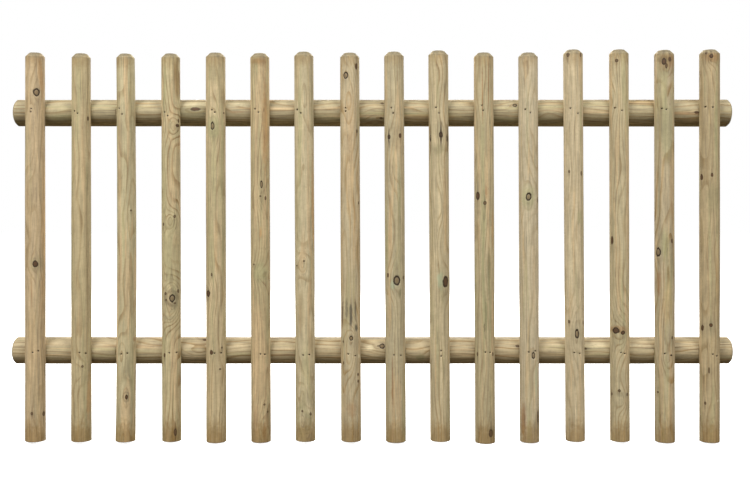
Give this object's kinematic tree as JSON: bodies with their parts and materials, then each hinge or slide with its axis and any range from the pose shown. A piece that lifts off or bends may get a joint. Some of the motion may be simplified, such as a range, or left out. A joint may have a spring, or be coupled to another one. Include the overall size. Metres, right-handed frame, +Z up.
{
  "type": "picket fence panel",
  "caption": "Low garden fence panel: half-round timber pales nailed upright across two round rails, with open gaps between the pales.",
  "frame": {"origin": "mid-length and mid-depth of the panel, at the level of the lowest pale foot", "axes": "+X along the rails to the right seen from the front, -Y out of the front where the pales' round faces are, +Z up"},
  "size_m": [1.835, 0.0935, 0.9938],
  "materials": {
    "pale_wood": "pressure-treated pine, machine rounded, pale green-buff",
    "rail_wood": "pressure-treated pine, machine rounded, green-buff",
    "nail_steel": "galvanised, dull"
  },
  "bodies": {
    "root": {"rail_upper": "rail_wood", "rail_lower": "rail_wood", "pale_01": "pale_wood", "pale_02": "pale_wood", "pale_03": "pale_wood", "pale_04": "pale_wood", "pale_05": "pale_wood", "pale_06": "pale_wood", "pale_07": "pale_wood", "pale_08": "pale_wood", "pale_09": "pale_wood", "pale_10": "pale_wood", "pale_11": "pale_wood", "pale_12": "pale_wood", "pale_13": "pale_wood", "pale_14": "pale_wood", "pale_15": "pale_wood", "pale_16": "pale_wood", "nails_pale_01": "nail_steel", "nails_pale_02": "nail_steel", "nails_pale_03": "nail_steel", "nails_pale_04": "nail_steel", "nails_pale_05": "nail_steel", "nails_pale_06": "nail_steel", "nails_pale_07": "nail_steel", "nails_pale_08": "nail_steel", "nails_pale_09": "nail_steel", "nails_pale_10": "nail_steel", "nails_pale_11": "nail_steel", "nails_pale_12": "nail_steel", "nails_pale_13": "nail_steel", "nails_pale_14": "nail_steel", "nails_pale_15": "nail_steel", "nails_pale_16": "nail_steel"}
  },
  "joints": []
}
